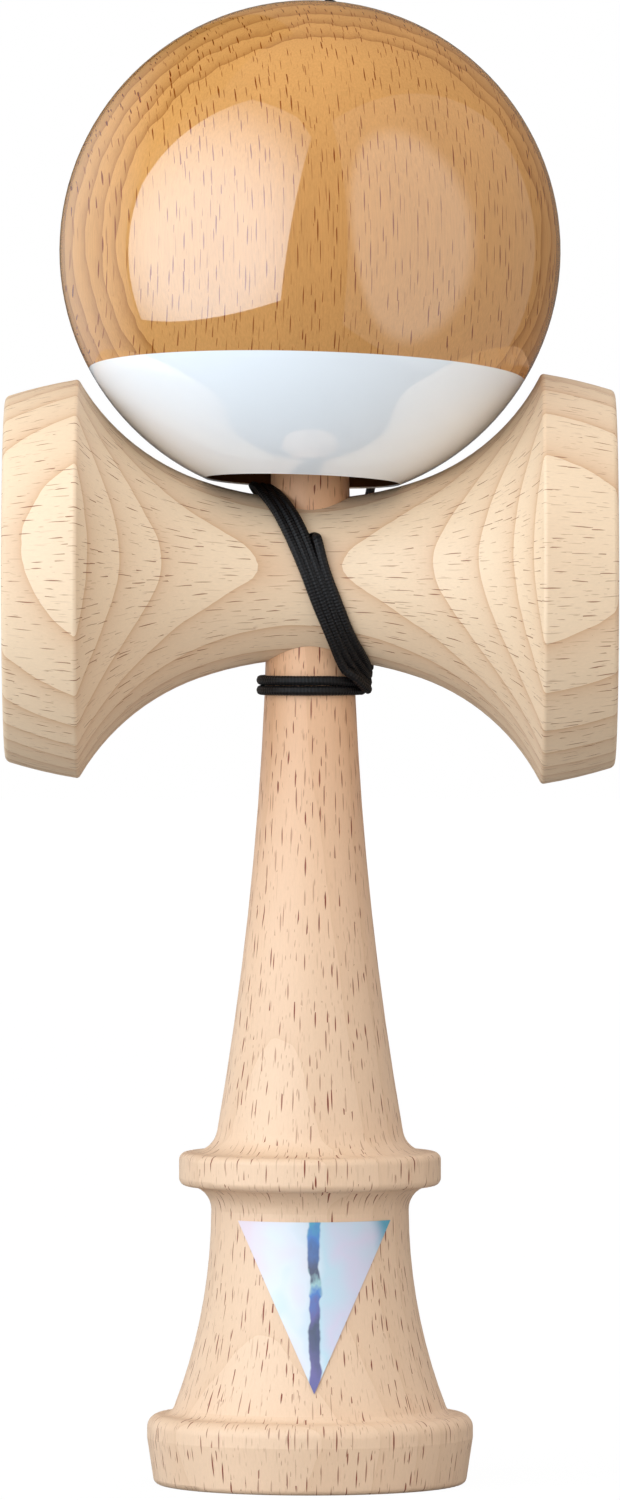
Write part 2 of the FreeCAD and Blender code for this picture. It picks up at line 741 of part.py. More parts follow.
def make_lead():
    start, way = lead_start()
    lead = doc.addObject("Part::Feature", "string_lead")
    lead.Shape = cord_solid(lead_edges(), way)
    tail = doc.addObject("Part::Cylinder", "string_tail")
    tail.setExpression("Radius", formula("cord_diameter / 2"))
    tail.setExpression("Height", formula(bend_height + " - " + bead_knot_top))
    tail.Placement = FreeCAD.Placement(in_ball(upward * worth(bead_knot_top)), ball_frame().Rotation)
    return lead, tail


def make_label():
    # A thin band round the grip, on the grip's own hollow curve, of which only a triangle in front stays.
    body = doc.addObject("PartDesign::Body", "foil_label")
    sketch = new_sketch(body, "label_profile")
    foot = FreeCAD.Vector(worth(grip_foot_radius), worth(foot_height), 0)
    waist = FreeCAD.Vector(worth("grip_waist_diameter / 2"), worth("ring_bottom"), 0)
    grip = sketch.addGeometry(arc_between(foot, waist, size("grip_hollow"), 1), True)
    ends = sorted((1, 2), key=lambda pos: sketch.getPoint(grip, pos).y)
    pin_point(sketch, (grip, ends[0]), "grip_foot", grip_foot_radius, foot_height)
    pin_point(sketch, (grip, ends[1]), "grip_waist", "grip_waist_diameter / 2", "ring_bottom")
    centre = sketch.getPoint(grip, 3)
    point = foot_height + " + label_rise"
    top = "ring_bottom - label_drop"
    levels = (point + " - label_margin", top + " + label_margin")
    faces = []
    for name, radius in (
        ("inner", "grip_hollow - label_gap"),
        ("outer", "grip_hollow - label_gap - label_thickness"),
    ):
        reach = worth(radius)
        heights = [worth(level) for level in levels]
        spots = [FreeCAD.Vector(centre.x - math.sqrt(reach ** 2 - (up - centre.y) ** 2), up, 0)
                 for up in heights]
        arc = sketch.addGeometry(arc_between(spots[0], spots[1], reach, 1))
        sketch.addConstraint(Sketcher.Constraint("Coincident", arc, 3, grip, 3))
        sketch.addConstraint(Sketcher.Constraint("Radius", arc, reach))
        sketch.renameConstraint(sketch.ConstraintCount - 1, name + "_arc")
        sketch.setExpression("Constraints.%s_arc" % name, formula(radius))
        low, high = sorted((1, 2), key=lambda pos: sketch.getPoint(arc, pos).y)
        for pos, level, label in ((low, levels[0], "low"), (high, levels[1], "high")):
            sketch.addConstraint(Sketcher.Constraint("DistanceY", -1, 1, arc, pos, worth(level)))
            sketch.renameConstraint(sketch.ConstraintCount - 1, name + "_" + label)
            sketch.setExpression("Constraints.%s_%s" % (name, label), formula(level))
        faces.append((arc, low, high))
    sketch.addConstraint(Sketcher.Constraint("Radius", grip, size("grip_hollow")))
    sketch.renameConstraint(sketch.ConstraintCount - 1, "grip_arc")
    sketch.setExpression("Constraints.grip_arc", formula("grip_hollow"))
    (inner, inner_low, inner_high), (outer, outer_low, outer_high) = faces
    low_ends = ((inner, inner_low), (outer, outer_low))
    high_ends = ((inner, inner_high), (outer, outer_high))
    for start, end in (low_ends, high_ends):
        line = sketch.addGeometry(Part.LineSegment(sketch.getPoint(*start), sketch.getPoint(*end)))
        sketch.addConstraint(Sketcher.Constraint("Coincident", line, 1, *start))
        sketch.addConstraint(Sketcher.Constraint("Coincident", line, 2, *end))
    turned(body, "label_band", sketch, "V_Axis")
    # The cut in front takes all but the triangle, and the cut behind takes the band's back.
    frame = new_sketch(body, "label_frame")
    side = "foot_diameter"
    low, high = levels[0] + " - label_margin", levels[1] + " + label_margin"
    outline(frame, [
        ("frame_low_left", "-" + side, low, None),
        ("frame_low_right", side, low, None),
        ("frame_high_right", side, high, None),
        ("frame_high_left", "-" + side, high, None),
    ])
    outline(frame, [
        ("point", "label_side", point, None),
        ("right_corner", "label_side + label_width / 2", top, None),
        ("left_corner", "-(label_width / 2 - label_side)", top, None),
    ])
    cut_hole(body, "label_front_cut", frame)
    back = new_sketch(body, "label_back")
    outline(back, [
        ("back_low_left", "-" + side, low, None),
        ("back_low_right", side, low, None),
        ("back_high_right", side, high, None),
        ("back_high_left", "-" + side, high, None),
    ])
    cut_hole(body, "label_back_cut", back, behind=True)
    return body


parts = [make_handle(), make_cross(), make_ball(), make_bead(), make_bead_knot(), make_anchor_knot()]
parts.append(make_lashing())
parts.extend(make_lead())
parts.append(make_label())
doc.recompute()

for item in doc.Objects:
    if "Invalid" in item.State or "Error" in item.State:
        raise RuntimeError("%s did not build: %s" % (item.Name, item.State))

os.makedirs("parts", exist_ok=True)
for item in parts:
    shape = item.Shape
    if shape.isNull() or not shape.isValid():
        raise RuntimeError("%s has no valid shape" % item.Label)
    shape.exportStep("parts/%s.step" % item.Label)
    print("%-16s solids %d volume %.1f" % (item.Label, len(shape.Solids), shape.Volume))
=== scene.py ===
import json
import math
import bpy
import numpy as np
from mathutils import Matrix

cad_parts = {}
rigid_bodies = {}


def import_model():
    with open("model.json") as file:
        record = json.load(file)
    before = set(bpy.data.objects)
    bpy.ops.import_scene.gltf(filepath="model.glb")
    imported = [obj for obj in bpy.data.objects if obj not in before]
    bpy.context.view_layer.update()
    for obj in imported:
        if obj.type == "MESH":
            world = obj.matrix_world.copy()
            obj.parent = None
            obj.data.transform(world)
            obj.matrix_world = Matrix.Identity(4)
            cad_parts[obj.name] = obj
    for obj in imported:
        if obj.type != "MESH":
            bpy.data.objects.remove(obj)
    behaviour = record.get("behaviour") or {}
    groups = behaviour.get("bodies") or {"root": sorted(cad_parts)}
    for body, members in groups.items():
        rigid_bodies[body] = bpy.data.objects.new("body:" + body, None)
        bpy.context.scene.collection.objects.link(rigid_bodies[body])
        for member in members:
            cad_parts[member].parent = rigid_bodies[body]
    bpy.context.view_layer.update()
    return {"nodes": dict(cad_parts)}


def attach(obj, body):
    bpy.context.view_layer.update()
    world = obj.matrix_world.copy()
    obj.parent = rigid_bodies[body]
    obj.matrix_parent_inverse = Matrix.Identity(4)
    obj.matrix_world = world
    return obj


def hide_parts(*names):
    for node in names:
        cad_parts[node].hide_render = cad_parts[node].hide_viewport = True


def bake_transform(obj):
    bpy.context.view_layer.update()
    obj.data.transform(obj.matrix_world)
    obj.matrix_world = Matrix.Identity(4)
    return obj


for thing in list(bpy.data.objects):
    bpy.data.objects.remove(thing)
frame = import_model()
nodes = frame["nodes"]
print("frame loaded:", ", ".join(sorted(nodes)))

mm = 0.001


class Wire:
    # The output of a node. Arithmetic on it adds a Math node.
    def __init__(self, finish, socket):
        self.finish = finish
        self.socket = socket

    def maths(self, operation, *values):
        return self.finish.add("Math", {"operation": operation}, dict(enumerate(values)))

    def output(self, name):
        return Wire(self.finish, self.socket.node.outputs[name])

    def __add__(self, other):
        return self.maths("ADD", self, other)

    def __radd__(self, other):
        return self.maths("ADD", other, self)

    def __sub__(self, other):
        return self.maths("SUBTRACT", self, other)

    def __rsub__(self, other):
        return self.maths("SUBTRACT", other, self)

    def __mul__(self, other):
        return self.maths("MULTIPLY", self, other)

    def __rmul__(self, other):
        return self.maths("MULTIPLY", other, self)

    def __truediv__(self, other):
        return self.maths("DIVIDE", self, other)

    def __pow__(self, other):
        return self.maths("POWER", self, other)

    def __abs__(self):
        return self.maths("ABSOLUTE", self)

    def fract(self):
        return self.maths("FRACT", self)

    def sine(self):
        return self.maths("SINE", self)

    def ramped(self, low, high):
        # 0 at low and below, 1 at high and above, smooth between.
        return self.finish.add("MapRange", {"interpolation_type": "SMOOTHSTEP"},
                               {"Value": self, "From Min": low, "From Max": high})

    def clamped(self):
        return self.finish.add("Clamp", {}, {"Value": self})


class Finish:
    # A material being made, or a world.
    def __init__(self, name, kind="Material"):
        self.material = bpy.data.materials.new(name) if kind == "Material" else bpy.data.worlds.new(name)
        self.material.use_nodes = True
        self.tree = self.material.node_tree
        self.tree.nodes.clear()
        self.end = self.tree.nodes.new("ShaderNodeOutput" + kind)

    def add(self, kind, settings, sockets, output=0):
        # Any node: its settings first, then the values or links of its sockets, by name or by number.
        node = self.tree.nodes.new("ShaderNode" + kind)
        for key, value in settings.items():
            if key == "stops":
                elements = node.color_ramp.elements
                while len(elements) < len(value):
                    elements.new(0.5)
                for element, (place, colour) in zip(elements, value):
                    element.position = place
                    element.color = colour
            elif key == "curve":
                points = node.mapping.curves[0].points
                while len(points) < len(value):
                    points.new(0.5, 0.5)
                for point, place in zip(points, value):
                    point.location = place
                    point.handle_type = "VECTOR"
                node.mapping.update()
            else:
                setattr(node, key, value)
        for key, value in sockets.items():
            if isinstance(value, Wire):
                self.tree.links.new(value.socket, node.inputs[key])
            else:
                node.inputs[key].default_value = value
        return Wire(self, node.outputs[output])

    def place(self, centre):
        # The point of the surface in millimetres from a centre.
        spot = self.add("TexCoord", {}, {}).output("Object")
        moved = self.add("VectorMath", {"operation": "SUBTRACT"}, {0: spot, 1: centre})
        return self.add("VectorMath", {"operation": "SCALE"}, {0: moved, "Scale": 1 / mm})

    def along(self, spot, axis):
        return self.add("VectorMath", {"operation": "DOT_PRODUCT"}, {0: spot, 1: axis}, "Value")

    def vector(self, across, deep, up):
        return self.add("CombineXYZ", {}, {0: across, 1: deep, 2: up})

    def noise(self, spot, detail=2.0, rough=0.5):
        return self.add("TexNoise", {}, {"Vector": spot, "Scale": 1.0, "Detail": detail, "Roughness": rough})

    def mixed(self, share, first, second, blend="MIX"):
        return self.add("Mix", {"data_type": "RGBA", "blend_type": blend}, {0: share, 6: first, 7: second}, 2)

    def bump(self, height):
        # The normal over a relief whose height is in millimetres.
        return self.add("Bump", {}, {"Height": height, "Strength": 1.0, "Distance": mm})

    def shader(self, sockets):
        return self.ended(self.add("BsdfPrincipled", {}, sockets))

    def ended(self, surface):
        self.tree.links.new(surface.socket, self.end.inputs["Surface"])
        return self.material


def colour(red, green, blue):
    # A colour as a screen shows it, from 0 to 255, made linear for the shader.
    return tuple((value / 255 / 12.92 if value < 10.3 else ((value / 255 + 0.055) / 1.055) ** 2.4)
                 for value in (red, green, blue)) + (1.0,)


def ringShare(finish, depth, lines):
    # How far a depth lies into its year ring: 0 just past one dark line, 1 at the next one.
    last = len(lines) - 1
    span = lines[-1] - lines[0]
    curve = [((line - lines[0]) / span, number / last) for number, line in enumerate(lines)]
    index = finish.add("FloatCurve", {"curve": curve}, {"Value": (depth - lines[0]) / span}) * last
    return index.fract()


def rayFlecks(finish, grain, tangent, depth, look):
    # Each cell of a stretched Voronoi pattern holds one lens-shaped fleck, long with the grain and thin
    # across it: 1 - (along / half length)^2 - |across| / half width, which is above 0 inside the lens.
    # Across is measured round the turning axis, so that flecks are as thin on the sides as in front, or
    # straight across where the look gives a sheet's depth: sheets show broad at the sides.
    long, wide = look["cell"]
    spot = finish.vector(grain / long, tangent / wide, depth / wide)
    cells = finish.add("TexVoronoi", {}, {"Vector": spot, "Scale": 1.0, "Randomness": look["scatter"]})
    away = finish.add("VectorMath", {"operation": "SUBTRACT"}, {0: spot, 1: cells.output("Position")})
    parts = finish.add("SeparateXYZ", {}, {0: away})
    chance = finish.add("SeparateColor", {}, {0: cells.output("Color")})
    if look["sheet"]:
        across = abs(parts.output("Y")) * wide
    else:
        radius = (tangent ** 2 + depth ** 2) ** 0.5
        across = abs(parts.output("Y") * depth - parts.output("Z") * tangent) / radius * wide
    halfLength = chance * look["lengthSpread"] + look["length"]
    halfWidth = chance.output("Green") * look["widthSpread"] + look["width"]
    lens = 1 - (parts * long / halfLength) ** 2 - across / halfWidth
    if look["sheet"]:
        lens = lens - (parts.output("Z") * wide / look["sheet"]) ** 2
    strength = chance.output("Blue").ramped(look["rare"], 1.0)
    return (lens * look["edge"]).clamped() * strength


def woodFinish(name, look):
    finish = Finish(name)
    spot = finish.place(look["centre"])
    grain = finish.along(spot, look["grain"])
    tangent = finish.along(spot, look["tangent"])
    depth = finish.along(spot, look["outward"])
    # Year rings: planes across the depth axis, bowed as the tree's trunk is round, swept a little one way
    # towards each end of the grain, and wavy. Late wood darkens a ring's end and draws a line at it.
    drift = finish.noise(finish.vector(grain / 30, tangent / 11, depth / 11)) - 0.5
    sway = finish.noise(finish.vector(grain / 5, tangent / 3, depth / 3), 1.0) - 0.5
    bowed = depth + tangent ** 2 / (2 * look["trunk"]) + drift * look["wave"] + sway * look["ripple"] \
        + grain * abs(grain) * look["sweep"]
    share = ringShare(finish, bowed, look["rings"])
    late = share ** look["latePower"] * look["lateTone"] + share ** look["linePower"] * look["lineTone"]
    tone = finish.mixed(late.clamped(), colour(*look["early"]), colour(*look["late"]))
    # Fibres: fine streaks along the grain, broad soft patches, and specks. What a place is divided by is the
    # size of the pattern in millimetres.
    fibre = finish.noise(finish.vector(grain / 4, tangent / 0.22, depth / 0.22), 3.0, 0.6)
    patch = finish.noise(finish.vector(grain / 35, tangent / 9, depth / 9), 1.0)
    speckle = finish.noise(finish.vector(grain / 0.5, tangent / 0.16, depth / 0.16), 1.0)
    light = 1 + (fibre - 0.5) * look["fibreTone"] + (patch - 0.5) * look["patchTone"] \
        + (speckle - 0.5) * look["speckleTone"]
    light3 = finish.vector(light, light, light)
    tone = finish.mixed(1.0, tone, light3, "MULTIPLY")
    # Painted bounce light: towards one end of its grain the wood is tinted warmer, standing in for the warm
    # light the lacquered ball throws on the handle's upper part.
    start, end, most = look["paintedBounce"]
    if most:
        tone = finish.mixed(grain.ramped(start, end) * most, tone, colour(*look["bounceTint"]), "MULTIPLY")
    bend = sway * look["fleckBend"]
    flecks = rayFlecks(finish, grain, tangent + bend, depth + bend, look["fleck"])
    small = rayFlecks(finish, grain, tangent - bend, depth + bend, look["smallFleck"])
    marks = (flecks + small * look["smallTone"]).clamped()
    tone = finish.mixed(marks * look["fleckTone"], tone, colour(*look["fleckColour"]))
    height = fibre * look["fibreHeight"] - marks * look["fleckHeight"]
    return finish, spot, tone, marks, height


def rawWood(name, look):
    finish, spot, tone, marks, height = woodFinish(name, look)
    rough = look["rough"] + marks * look["markRough"]
    return finish.shader({"Base Color": tone, "Roughness": rough, "Normal": finish.bump(height),
                          "Specular IOR Level": look["specular"], "IOR": look["density"]})


def turnedAxes(tiltUp, tiltAlong, grain):
    # The wood's own axes: along the grain, across it in the ring, and outwards through the rings. The
    # outward axis faces the front, tilted up by one angle and towards the grain by a small share.
    up = math.radians(tiltUp)
    if grain == "x":
        outward = np.array([tiltAlong, -math.cos(up), math.sin(up)])
        return (1, 0, 0), (0, math.sin(up), math.cos(up)), tuple(outward)
    outward = np.array([math.sin(up), -math.cos(up), tiltAlong])
    return (0, 0, 1), (math.cos(up), math.sin(up), 0), tuple(outward)


beechFleck = {"cell": (3.6, 1.25), "scatter": 1.0, "length": 0.75, "lengthSpread": 1.0,
              "width": 0.065, "widthSpread": 0.065, "rare": -0.1, "edge": 3.0, "sheet": 0}
beechSmall = {"cell": (1.7, 0.62), "scatter": 1.0, "length": 0.25, "lengthSpread": 0.5,
              "width": 0.04, "widthSpread": 0.04, "rare": 0.4, "edge": 2.0, "sheet": 0}

crossGrain, crossTangent, crossOutward = turnedAxes(10, 0.027, "x")
crossWood = {
    "centre": (0, 0, 0.1085), "grain": crossGrain, "tangent": crossTangent, "outward": crossOutward,
    "rings": (-26, -22.6, -19.4, -15.9, -12.5, -9.4, -6.1, -2.8, 0.5, 3.7, 6.9, 9.9, 13.05, 16.4, 20.4, 23.8,
              27.4),
    "latePower": 2.2, "linePower": 14, "markRough": 0.1,
    "trunk": 140, "wave": 0.9, "ripple": 0.15, "sweep": 0.001, "lateTone": 0.42, "lineTone": 0.34,
    "early": (230, 202, 169), "late": (198, 152, 112),
    "fibreTone": 0.10, "patchTone": 0.06, "speckleTone": 0.08,
    "fleck": dict(beechFleck, width=0.045, widthSpread=0.04), "smallFleck": beechSmall, "smallTone": 0.4,
    "fleckBend": 0.5, "fleckTone": 0.9, "fleckColour": (134, 72, 34),
    "fibreHeight": 0.012, "fleckHeight": 0.012, "rough": 0.48, "specular": 0.5, "density": 1.5,
    "paintedBounce": (40, 130, 0.0), "bounceTint": (255, 214, 176),
}

handleGrain, handleTangent, handleOutward = turnedAxes(-25, 0.01, "z")
# The handle takes the painted bounce light, warmer from 40 to 130 mm up its grain, towards the ball.
handleWood = dict(
    crossWood, centre=(0, 0, 0), grain=handleGrain, tangent=handleTangent, outward=handleOutward,
    rings=(-24, -20.1, -16.6, -12.8, -9.2, -5.3, -1.6, 2.4, 6.3, 9.9, 13.8, 17.4, 21.2, 25),
    trunk=90, wave=1.6, ripple=0.3, sweep=0.0, lateTone=0.14, lineTone=0.1, paintedBounce=(40, 130, 0.7),
    early=(225, 191, 159), late=(194, 151, 112),
    fleck=beechFleck, fleckTone=1.0, fleckColour=(124, 42, 6), smallTone=0.5,
)

ballGrain, ballTangent, ballOutward = turnedAxes(8.5, 0.061, "z")
ballWood = dict(
    crossWood, centre=(0, 0, 0.1477459), grain=ballGrain, tangent=ballTangent, outward=ballOutward,
    rings=(-30, -26.8, -23.5, -19.9, -16.6, -13.1, -9.5, -5.8, -2.2, 1.2, 4.7, 8.7, 12.6, 15.5, 17.9, 37),
    trunk=160, wave=1.0, ripple=1.9, sweep=0.0, lateTone=0.55, lineTone=0.08,
    early=(205, 148, 84), late=(142, 84, 36),
    fibreTone=0.4, patchTone=0.25, speckleTone=0.08,
    fleck=dict(beechFleck, cell=(3.6, 1.15), length=1.1, width=0.05, widthSpread=0.055, rare=-0.6,
               sheet=1.2),
    fleckBend=0.2, fleckTone=1.0, fleckColour=(122, 50, 4), smallTone=0.2,
)

# The band was dipped a little askew, so its edge has an axis of its own. What lies inside the skin's radius
# is the bore, whose raw wood is darkened to a painted shade.
paintBand = {
    "top": -14.9, "axis": (0.0279216, 0.1010169, 0.9944928), "skin": 29.8, "skinBlur": 0.1, "edgeBlur": 0.04,
    "white": (243, 248, 252), "bore": (66, 42, 24), "coatRough": 0.03, "coatDensity": 2.1,
    "underRough": 0.5, "reliefLeft": 0.4,
}


def lacqueredBall(name, look, paint):
    finish, spot, tone, marks, height = woodFinish(name, look)
    level = finish.along(spot, paint["axis"])
    far = finish.add("VectorMath", {"operation": "LENGTH"}, {0: spot}, "Value")
    skin = far.ramped(paint["skin"] - paint["skinBlur"], paint["skin"] + paint["skinBlur"])
    painted = level.ramped(paint["top"] + paint["edgeBlur"], paint["top"] - paint["edgeBlur"]) * skin
    tone = finish.mixed(painted, tone, colour(*paint["white"]))
    # Painted shade: inside the skin's radius the raw wood of the bore takes the dark shade colour.
    tone = finish.mixed(skin, colour(*paint["bore"]), tone)
    relief = height * (1 - painted) * paint["reliefLeft"]
    return finish.shader({"Base Color": tone, "Roughness": paint["underRough"], "Normal": finish.bump(relief),
                          "Coat Weight": skin, "Coat Roughness": paint["coatRough"],
                          "Coat IOR": paint["coatDensity"], "Specular IOR Level": 0.0})


def showFinish(node, material):
    for slot in nodes[node].material_slots:
        slot.material = material


showFinish("sarado", rawWood("crossBeech", crossWood))
showFinish("ken", rawWood("handleBeech", handleWood))
showFinish("tama", lacqueredBall("ballLacquer", ballWood, paintBand))
beadWood = dict(handleWood, centre=(0.00041, 0.00088, 0.16002))
showFinish("stopper_bead", rawWood("beadBeech", beadWood))
print("wood finished")

foilLook = {
    "centre": (0.0005, -0.012, 0.0223), "pale": (214, 219, 226), "ice": (186, 210, 220),
    "lilac": (204, 200, 217), "rose": (220, 204, 212), "teal": (36, 150, 176), "navy": (20, 28, 74),
    "violet": (80, 62, 140), "azure": (18, 104, 186), "mint": (150, 190, 190),
    "clouds": ((0.0, "rose"), (0.28, "pale"), (0.5, "ice"), (0.72, "lilac"), (1.0, "ice")),
    # The streak's colours are a painted reflection down the middle of the foil.
    "reflectionStreak": ((0.12, "violet"), (0.35, "navy"), (0.45, "violet"), (0.56, "azure"), (0.62, "mint"),
               (0.68, "navy"), (0.86, "azure"), (0.96, "teal")),
    "cornerStart": 10.3, "cornerEnd": 12.6, "overlay": 0.85, "rough": 0.42, "specular": 0.5, "relief": 0.03,
}


def stops(look, places):
    return [(place, colour(*look[hue])) for place, hue in places]


def foilFinish(name, look):
    finish = Finish(name)
    spot = finish.place(look["centre"])
    parts = finish.add("SeparateXYZ", {}, {0: spot})
    across, up = parts, parts.output("Z")
    # Pastel clouds, rosier on the left and bluer on the right, with a teal wave in the right corner.
    cloud = finish.noise(finish.vector(across / 6 + 3, 1.7, up / 7), 2.0) - 0.5
    cloudPlace = across / 20 + 0.46 + cloud * 0.9
    hue = finish.add("ValToRGB", {"stops": stops(look, look["clouds"])}, {0: cloudPlace})
    corner = (across + up * 0.5 + cloud * 4).ramped(look["cornerStart"], look["cornerEnd"])
    tone = finish.mixed(corner * look["overlay"], hue, colour(*look["teal"]))
    # A painted reflection: the dark streak down the middle, where the foil mirrors the dark surroundings. It
    # wanders, swells and thins, and changes colour with the height.
    wander = (finish.noise(finish.vector(0.3, 4.1, up / 3.1), 1.0) - 0.5) * 1.1
    halfWidth = 0.42 + 0.5 * finish.noise(finish.vector(7.7, 1.3, up / 1.2), 1.0)
    reflectionStreak = (abs(across + wander) / halfWidth).ramped(1.2, 0.8)
    stray = (finish.noise(finish.vector(across / 1.2, 2.0, up / 2), 2.0) - 0.5) * 0.3
    reflectionHue = finish.add("ValToRGB", {"stops": stops(look, look["reflectionStreak"])}, {0: up / 22 + 0.5 + stray})
    tone = finish.mixed(reflectionStreak * look["overlay"], tone, reflectionHue)
    ripple = finish.noise(finish.vector(across / 4, 0.0, up / 4), 1.0)
    return finish.shader({"Base Color": tone, "Roughness": look["rough"],
                          "Normal": finish.bump(ripple * look["relief"]),
                          "Specular IOR Level": look["specular"]})


showFinish("foil_label", foilFinish("holographicFoil", foilLook))
print("label finished")

# The cord's near-black is painted shade in the braid's hollows, and its thread colour carries painted sheen
# on the crests.
cordLook = {
    "width": 1.12 * mm, "thickness": 0.94 * mm, "clear": 0.03 * mm,
    "around": 24, "step": 0.12 * mm, "braidPitch": 0.8 * mm, "braidSides": 4, "braidHeight": 0.055,
    "hollowShade": (2, 2, 2), "threadAndSheen": (44, 38, 38), "rough": 0.6, "smoother": 0.15, "specular": 0.3,
    "weaveRelief": 0.07, "fuzzRelief": 0.06,
}
# The wood under the cord: the cross piece's hollow waist, the handle's neck, and the ball.
crossing = {"height": 108.5 * mm, "waist": 9.6 * mm, "hollow": 40 * mm, "neck": 5.43 * mm}
ball = {"centre": (0, 0, 147.7459 * mm), "radius": 30 * mm, "axis": (0.0331552, 0.0714581, 0.9968924)}


def crossRadius(across):
    return crossing["waist"] + crossing["hollow"] - np.sqrt(crossing["hollow"] ** 2 - across ** 2)


def braidFinish(name, look):
    # Threads cross at a slant: sin(2 pi (u + v)) sin(2 pi (u - v)) on the cord's own unrolled surface.
    finish = Finish(name)
    spot = finish.add("TexCoord", {}, {}).output("UV")
    parts = finish.add("SeparateXYZ", {}, {0: spot})
    run, turn = parts, parts.output("Y")
    first = ((run + turn * look["braidSides"]) * math.tau).sine()
    second = ((run - turn * look["braidSides"]) * math.tau).sine()
    weave = first * second * 0.5 + 0.5
    fuzz = finish.noise(finish.vector(run * 3, turn * 14, 0.0), 2.0)
    share = (weave * 0.7 + fuzz * 0.8 - 0.35).clamped()
    # Painted shade and highlight: where the weave sinks the cord takes the near-black shade colour, and on
    # its raised crests the lighter colour of thread and sheen, following the relief.
    tone = finish.mixed(share ** 2, colour(*look["hollowShade"]), colour(*look["threadAndSheen"]))
    relief = weave * look["weaveRelief"] + fuzz * look["fuzzRelief"]
    return finish.shader({"Base Color": tone, "Roughness": look["rough"] - share * look["smoother"],
                          "Normal": finish.bump(relief), "Specular IOR Level": look["specular"]})


cordMaterial = braidFinish("blackBraid", cordLook)


def meshFromGrid(name, points, closed, run, material):
    # A surface from a grid of points, rows along and columns around, with its ends closed by a fan. The run
    # gives each row's place in the texture.
    rows, columns = points.shape[:2]
    vertices = points.reshape(-1, 3)
    row, column = np.meshgrid(np.arange(rows if closed else rows - 1), np.arange(columns), indexing="ij")
    nextRow, nextColumn = (row + 1) % rows, (column + 1) % columns
    quads = np.stack([row * columns + column, row * columns + nextColumn,
                      nextRow * columns + nextColumn, nextRow * columns + column], -1).reshape(-1, 4)
    faces = quads.tolist()
    high = np.where(nextRow > row, run[nextRow], run[row] + run[1] - run[0])
    uv = np.stack([
        np.stack([run[row], column / columns], -1), np.stack([run[row], (column + 1) / columns], -1),
        np.stack([high, (column + 1) / columns], -1), np.stack([high, column / columns], -1),
    ], -2).reshape(-1, 2)
    if not closed:
        ends = np.array([points[0].mean(0), points[-1].mean(0)])
        first = len(vertices)
        vertices = np.vstack([vertices, ends])
        ring = np.arange(columns)
        after = (ring + 1) % columns
        base = (rows - 1) * columns
        faces += np.stack([np.full(columns, first), after, ring], -1).tolist()
        faces += np.stack([np.full(columns, first + 1), base + ring, base + after], -1).tolist()
        fan = np.stack([ring + 0.5, ring + 1, ring], -1) / columns
        startUv = np.stack([np.full_like(fan, run[0]), fan], -1).reshape(-1, 2)
        endUv = np.stack([np.full_like(fan, run[-1]), fan], -1).reshape(-1, 2)
        uv = np.vstack([uv, startUv, endUv])
    mesh = bpy.data.meshes.new(name)
    mesh.from_pydata(vertices.tolist(), [], faces)
    mesh.uv_layers.new(name="run").data.foreach_set("uv", uv.ravel())
    mesh.polygons.foreach_set("use_smooth", np.ones(len(faces), bool))
    mesh.update()
    piece = bpy.data.objects.new(name, mesh)
    bpy.context.scene.collection.objects.link(piece)
    mesh.materials.append(material)
    return piece


def splineReach(reach, turn):
    # The radius for control points a turn t apart, so that a quadratic spline beside each of them, where it
    # is at (before + 6 point + after) / 8, has the reach that is wanted: R (0.75 + 0.25 cos t) = reach.
    return reach / (0.75 + 0.25 * math.cos(turn))


def splineLine(name, points, step):
    # A smooth NURBS line with the route's points as its control points, read back at even steps.
    curve = bpy.data.curves.new(name, "CURVE")
    curve.dimensions = "3D"
    curve.resolution_u = 24
    spline = curve.splines.new("NURBS")
    spline.points.add(len(points) - 1)
    spline.points.foreach_set("co", np.column_stack([points, np.ones(len(points))]).ravel())
    spline.order_u = 3
    spline.use_endpoint_u = True
    holder = bpy.data.objects.new(name, curve)
    mesh = bpy.data.meshes.new_from_object(holder)
    line = np.empty(len(mesh.vertices) * 3)
    mesh.vertices.foreach_get("co", line)
    line = line.reshape(-1, 3)
    bpy.data.meshes.remove(mesh)
    bpy.data.objects.remove(holder)
    bpy.data.curves.remove(curve)
    along = np.concatenate([[0], np.cumsum(np.linalg.norm(np.diff(line, axis=0), axis=1))])
    at = np.linspace(0, along[-1], int(along[-1] / step) + 1)
    print("%s is %.1f mm long" % (name, along[-1] / mm))
    return np.stack([np.interp(at, along, line[:, axis]) for axis in range(3)], -1), at


def unit(vectors):
    return vectors / np.linalg.norm(vectors, axis=-1, keepdims=True)


def braidTube(name, line, at, outward, look, closed=False):
    # An oval carried along the line, its flat side to the wood. The braid lifts the oval by
    # sin(2 pi (u + n v)) sin(2 pi (u - n v)), u along in braid pitches and v round the oval.
    if closed:
        way = unit(np.roll(line, -1, 0) - np.roll(line, 1, 0))
    else:
        way = unit(np.gradient(line, axis=0))
    rise = unit(outward - way * (outward * way).sum(-1, keepdims=True))
    side = np.cross(way, rise)
    turn = np.arange(look["around"]) / look["around"]
    run = at / look["braidPitch"]
    first = np.sin(math.tau * (run[:, None] + look["braidSides"] * turn))
    second = np.sin(math.tau * (run[:, None] - look["braidSides"] * turn))
    lift = 1 + look["braidHeight"] * first * second
    angle = math.tau * turn
    across = (np.cos(angle) * look["width"] / 2 * lift)[..., None]
    up = (np.sin(angle) * look["thickness"] / 2 * lift)[..., None]
    points = line[:, None] + side[:, None] * across + rise[:, None] * up
    return meshFromGrid(name, points[:, ::-1], closed, run, cordMaterial)


